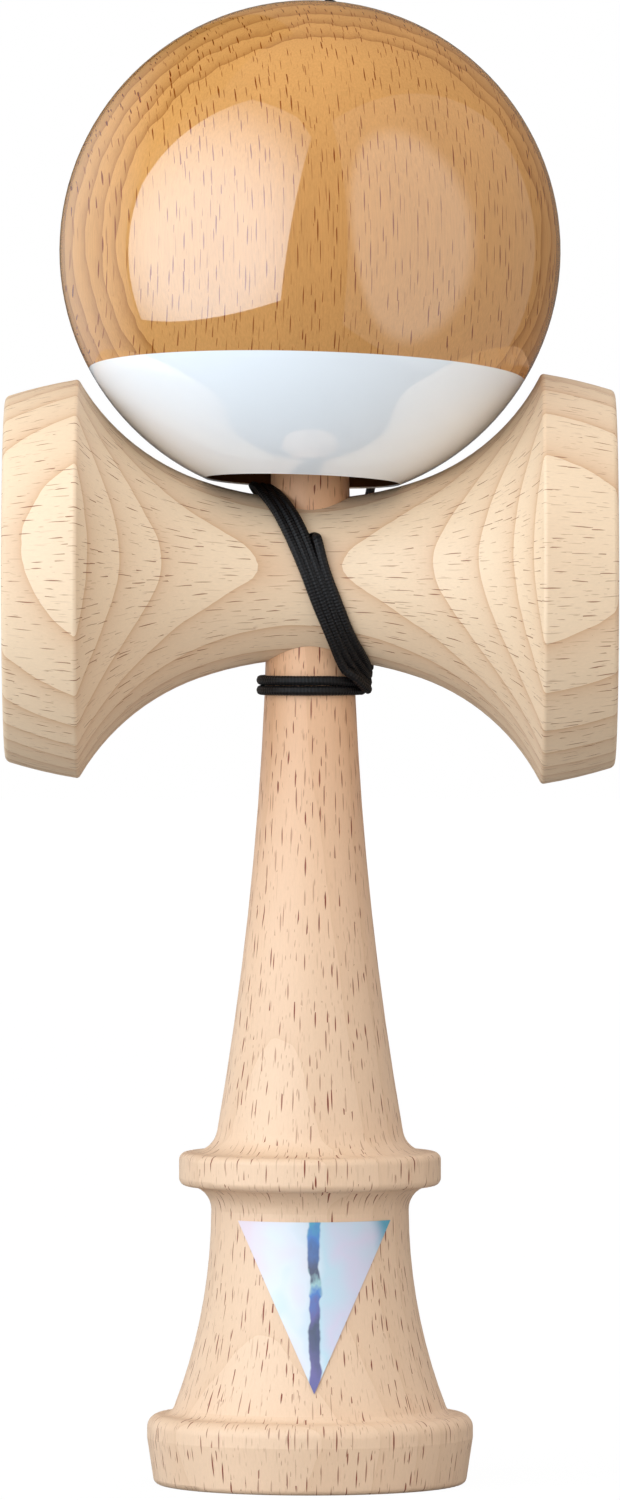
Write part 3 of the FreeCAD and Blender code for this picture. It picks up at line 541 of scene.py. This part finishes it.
# The lashing's route. Angles go round the cross piece: 0 on top, 90 in front, 180 below, 270 behind.
lashing = {
    "hole": (0.5, 113.2), "knotFace": -4.35,
    "angles": (0, 18, 37, 56, 81, 105, 122, 143, 155, 167, 180, 194, 207, 236, 270, 304, 333, 360),
    "places": (-6.4, -4.95, -3.2, -1.75, -0.05, 1.55, 2.67, 3.84, 4.5, 5.75, 6.4, 6.4, 6.0, 3.6, 0.2, -3.2,
               -5.2, -6.4),
    "pitches": (0.95, 1.0, 1.02, 1.0, 0.82, 0.88, 0.78, 1.05, 1.12, 0.6, 0.3, 0.4, 0.55, 0.8, 0.95, 0.95,
                0.95, 0.95),
    "stepsPerTurn": 16, "firstAngle": 84.0, "lastPass": 3, "lastAngle": 158, "laneTurn": 200, "spread": 0.45,
    "stackAngles": (0, 115, 180, 245, 360), "stackShares": (0, 0, 1, 0, 0), "stacks": (0, 1.0, 2.1, 3.0),
    "topAngles": (0, 22, 50, 310, 338, 360), "topShares": (1, 0.75, 0, 0, 0.75, 1), "topRise": 0.6,
    "wrapHeights": (96.4, 95.2), "wrapSteps": 12,
}


def lapPoint(angle, passes, lane):
    # Angle in degrees, lane in strands to the right of the ribbon's middle.
    turned = angle % 360
    pitch = np.interp(turned, lashing["angles"], lashing["pitches"])
    under = np.interp(turned, lashing["stackAngles"], lashing["stackShares"])
    across = np.interp(turned, lashing["angles"], lashing["places"]) + lane * pitch
    across += under * passes * lashing["spread"]
    stack = under * lashing["stacks"][passes]
    stack += np.interp(turned, lashing["topAngles"], lashing["topShares"]) * lashing["topRise"]
    reach = crossRadius(across * mm) / mm + cordLook["thickness"] / 2 / mm + cordLook["clear"] / mm + stack
    reach = splineReach(reach, math.tau / lashing["stepsPerTurn"])
    turn = math.radians(turned)
    return across, -reach * math.sin(turn), crossing["height"] / mm + reach * math.cos(turn)


def lashingRoute():
    hole, height = lashing["hole"]
    points = [(hole, lashing["knotFace"], height), (hole + 0.1, -6.6, height + 0.1),
              (hole + 0.25, -8.7, height + 0.5), (hole + 0.45, -9.8, height - 0.1)]
    # Each pass lies a lane further left than the one before, and changes lane at the back.
    angle = lashing["firstAngle"]
    while angle <= lashing["lastPass"] * 360 + lashing["lastAngle"]:
        passes, turned = divmod(angle, 360)
        lane = 2 - passes - max(0.0, (turned - lashing["laneTurn"]) / (360 - lashing["laneTurn"]))
        points.append(lapPoint(turned, int(passes), lane))
        angle += 360 / lashing["stepsPerTurn"]
    # Round the right of the neck, over the wraps, and then the two wraps themselves.
    points += [(5.0, -5.6, 97.2), (6.4, -4.0, 95.7), (7.0, -1.5, 95.25), (6.9, 1.4, 95.4), (5.4, 4.7, 95.8),
               (2.4, 6.1, 96.1)]
    reach = (crossing["neck"] + cordLook["thickness"] / 2 + cordLook["clear"]) / mm
    reach = splineReach(reach, math.tau / lashing["wrapSteps"])
    high, low = lashing["wrapHeights"]
    for number in range(3, 2 * lashing["wrapSteps"] + 1):
        turn = math.tau * number / lashing["wrapSteps"]
        fall = np.interp(number, (lashing["wrapSteps"] - 2, lashing["wrapSteps"] + 3), (0, 1))
        points.append((reach * math.cos(turn), reach * math.sin(turn), high + (low - high) * fall))
    points += [(6.3, 3.0, 95.1), (6.6, 6.2, 96.7), (6.65, 9.0, 99.4), (6.3, 11.2, 102.8), (5.6, 12.35, 106.4),
               (5.2, 13.039, 108.5)]
    return np.array(points) * mm


lashingLine, lashingAt = splineLine("cord_lashing", lashingRoute(), cordLook["step"])
fromCross = lashingLine * (0, 1, 1) - (0, 0, crossing["height"])
fromNeck = lashingLine * (1, 1, 0)
onNeck = np.clip((98.6 * mm - lashingLine[:, 2]) / (2.2 * mm), 0, 1)[:, None]
lashingOut = unit(fromCross + (0, 0, 0.4 * mm)) * (1 - onNeck) + unit(fromNeck) * onNeck
cordLashing = braidTube("cord_lashing", lashingLine, lashingAt, lashingOut, cordLook)
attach(cordLashing, "ken")
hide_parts("string_lashing")


# The lead lies in one plane with the ball's axis: straight to the ball's back, round it and into its hole.
# Near the hole the route is given by distances from the ball's axis and heights over its centre.
lead = {
    "start": (5.2, 13.039, 108.5), "knotTop": 8.5, "stepAngle": 11, "lastAngle": 80, "pastTouch": 3,
    "overTop": ((3.3, 30.35), (1.9, 29.7), (0.6, 29.2), (0.05, 27.8), (0, 25)),
}


def leadRoute():
    centre = np.array(ball["centre"]) / mm
    upward = np.array(ball["axis"])
    start = np.array(lead["start"])
    local = start - centre
    up = local @ upward
    outward = local - up * upward
    across = np.linalg.norm(outward)
    outward /= across
    reach = (ball["radius"] + cordLook["thickness"] / 2 + cordLook["clear"]) / mm
    away = math.hypot(across, up)
    angle = math.degrees(math.atan2(up, across) + math.acos(reach / away))
    grown = splineReach(reach, math.radians(lead["stepAngle"]))
    turn = math.radians(angle)
    touch = centre + outward * reach * math.cos(turn) + upward * reach * math.sin(turn)
    points = [start] + [start + (touch - start) * share for share in (0.3, 0.65)]
    turns = int((lead["lastAngle"] - angle) / lead["stepAngle"])
    for number in range(turns + 1):
        turn = math.radians(angle + lead["pastTouch"] + number * lead["stepAngle"])
        points.append(centre + outward * grown * math.cos(turn) + upward * grown * math.sin(turn))
    for across, height in lead["overTop"]:
        points.append(centre + outward * across + upward * height)
    points += [centre + upward * (height + (lead["knotTop"] - height) * share) for share in (0.35, 0.7, 1)]
    return np.array(points) * mm, np.cross(upward, outward)


leadPoints, leadSide = leadRoute()
leadLine, leadAt = splineLine("cord_lead", leadPoints, cordLook["step"])
leadWay = unit(np.gradient(leadLine, axis=0))
cordLead = braidTube("cord_lead", leadLine, leadAt, np.cross(leadSide, leadWay), cordLook)
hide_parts("string_lead", "string_tail")
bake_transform(cordLead)


def overhandKnot(name, centre, axis, size, look):
    # A trefoil: (sin t + 2 sin 2t, cos t - 2 cos 2t, -sin 3t), drawn tight to the knot's size.
    turn = np.linspace(0, math.tau, 160, endpoint=False)
    shape = np.stack([np.sin(turn) + 2 * np.sin(2 * turn), np.cos(turn) - 2 * np.cos(2 * turn),
                      -1.6 * np.sin(3 * turn)], -1) / 3
    axis = unit(np.array(axis, float))
    across = unit(np.cross(axis, (0.3, 0.9, 0.2)))
    frameAxes = np.stack([across, np.cross(axis, across), axis])
    line = np.array(centre) + shape @ frameAxes * (size / 2 - look["thickness"] / 2)
    at = np.linspace(0, 9, len(line), endpoint=False) * look["braidPitch"]
    return braidTube(name, line, at, line - np.array(centre) + 0.2 * mm * axis, look, closed=True)


anchorKnot = overhandKnot("cord_anchor_knot", (0.0005, -0.0029, 0.1132), (0, -1, 0), 2.9 * mm, cordLook)
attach(anchorKnot, "ken")
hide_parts("anchor_knot")
beadKnot = overhandKnot("cord_bead_knot", (0.00023, 0.0005, 0.15477), ball["axis"], 3.3 * mm, cordLook)
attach(beadKnot, "string_end")
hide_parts("bead_knot")
print("cord finished")

# The panels that light the toy and that its lacquer mirrors. A panel is flat, square to its facing direction,
# and its corners are directions too, all as seen from the ball: degrees round from the camera to the right,
# and degrees above the level.
studio = {
    "distance": 1.5, "eyeHeight": 0.123, "lookHeight": 0.088, "lens": 300.5,
    "worldLight": 1.65, "glossLight": 0.12,
    "key": {"facing": (-50, 14), "away": 0.9, "tint": (0.9, 1.0, 1.1), "level": 0.55, "spot": (-48, -4),
            "spotSize": (1, 1), "spotSoft": (1.6, 0.3), "spotLevel": 2.5,
            "corners": ((-92, -22), (-14, -23), (1, 52), (-10, 62), (-60, 66), (-90, 22))},
    "fill": {"facing": (72, 8), "away": 1.1, "tint": (1, 1, 1), "level": 0.38, "spot": (42, 5),
             "spotSize": (0.82, 1.25), "spotSoft": (1.1, 0.8), "spotLevel": 0.75,
             "corners": ((17, -34), (124, -30), (128, 30), (100, 56), (17, 60))},
    "rim": {"facing": (-126, 4), "away": 1.1, "tint": (1, 1, 1), "level": 0.0, "spot": (-122, 0),
            "spotSize": (1.2, 0.95), "spotSoft": (1.1, 0.2), "spotLevel": 0.85,
            "corners": ((-93, -44), (-172, -44), (-172, 62), (-93, 62))},
    "floorSize": 6, "floorGrey": 0.42, "floorWhite": 1.05, "floorSeen": 0.92,
}


def direction(around, above):
    around, above = math.radians(around), math.radians(above)
    level = math.cos(above)
    return np.array([math.sin(around) * level, -math.cos(around) * level, math.sin(above)])


def softPanel(name, look):
    # A glowing panel that only the lit things see. A corner lies at centre + way away / (way . facing). A
    # soft brighter oval lies round its spot, across along the level and up along the slope of the panel.
    facing = direction(*look["facing"])
    across = unit(np.cross((0, 0, 1), facing))
    centre = np.array(ball["centre"])
    ways = np.array([direction(*corner) for corner in look["corners"] + (look["spot"],)])
    points = centre + ways * (look["away"] / (ways @ facing))[:, None]
    mesh = bpy.data.meshes.new(name)
    mesh.from_pydata(points[:-1].tolist(), [], [list(range(len(points) - 1))])
    panel = bpy.data.objects.new(name, mesh)
    bpy.context.scene.collection.objects.link(panel)
    finish = Finish(name)
    spot = finish.add("TexCoord", {}, {}).output("Object")
    aside = finish.add("VectorMath", {"operation": "SUBTRACT"}, {0: spot, 1: tuple(points[-1])})
    width, height = look["spotSize"]
    along = finish.along(aside, tuple(across)) / width
    rise = finish.along(aside, tuple(np.cross(facing, across))) / height
    glow = ((along ** 2 + rise ** 2) ** 0.5).ramped(*look["spotSoft"]) * look["spotLevel"] + look["level"]
    emission = finish.add("Emission", {}, {"Color": (*look["tint"], 1), "Strength": glow})
    mesh.materials.append(finish.ended(emission))
    panel.visible_camera = False
    panel.visible_shadow = False


for panelName in ("key", "fill", "rim"):
    softPanel(panelName + "Panel", studio[panelName])


def backdrop():
    # The surroundings have a strength of 1 for the camera and through glass, so that the background is
    # white, a higher one where they light the toy, and a low one where its gloss shows the darker room.
    finish = Finish("studioWorld", "World")
    plain, glossy = studio["worldLight"], studio["glossLight"]
    path = finish.add("LightPath", {}, {})
    seen = path.maths("MAXIMUM", path, path.output("Is Transmission Ray"))
    level = plain + seen * (1 - plain) + path.output("Is Glossy Ray") * (glossy - plain)
    return finish.ended(finish.add("Background", {}, {"Color": (1, 1, 1, 1), "Strength": level}))


bpy.context.scene.world = backdrop()

# The floor is white to the camera and a plain grey to the light, and the lacquer doesn't mirror it.
bpy.ops.mesh.primitive_plane_add(size=studio["floorSize"])
floor = bpy.context.object
floor.name = "floor"
floorFinish = Finish("paleFloor")
matte = floorFinish.add("BsdfDiffuse", {}, {"Color": (*[studio["floorGrey"]] * 3, 1)})
white = floorFinish.add("Emission", {}, {"Color": (1, 1, 1, 1), "Strength": studio["floorWhite"]})
cameraRay = floorFinish.add("LightPath", {}, {})
floor.data.materials.append(floorFinish.ended(
    floorFinish.add("MixShader", {}, {0: cameraRay * studio["floorSeen"], 1: matte, 2: white})))
floor.visible_glossy = False

camera = bpy.data.objects.new("camera", bpy.data.cameras.new("camera"))
bpy.context.scene.collection.objects.link(camera)
camera.location = (0, -studio["distance"], studio["eyeHeight"])
fall = math.atan((studio["eyeHeight"] - studio["lookHeight"]) / studio["distance"])
camera.rotation_euler = (math.pi / 2 - fall, 0, 0)
camera.data.lens = studio["lens"]
camera.data.sensor_width = 36
camera.data.clip_start = 0.05
bpy.context.scene.camera = camera
bpy.context.scene.view_settings.view_transform = "Standard"
print("studio set")
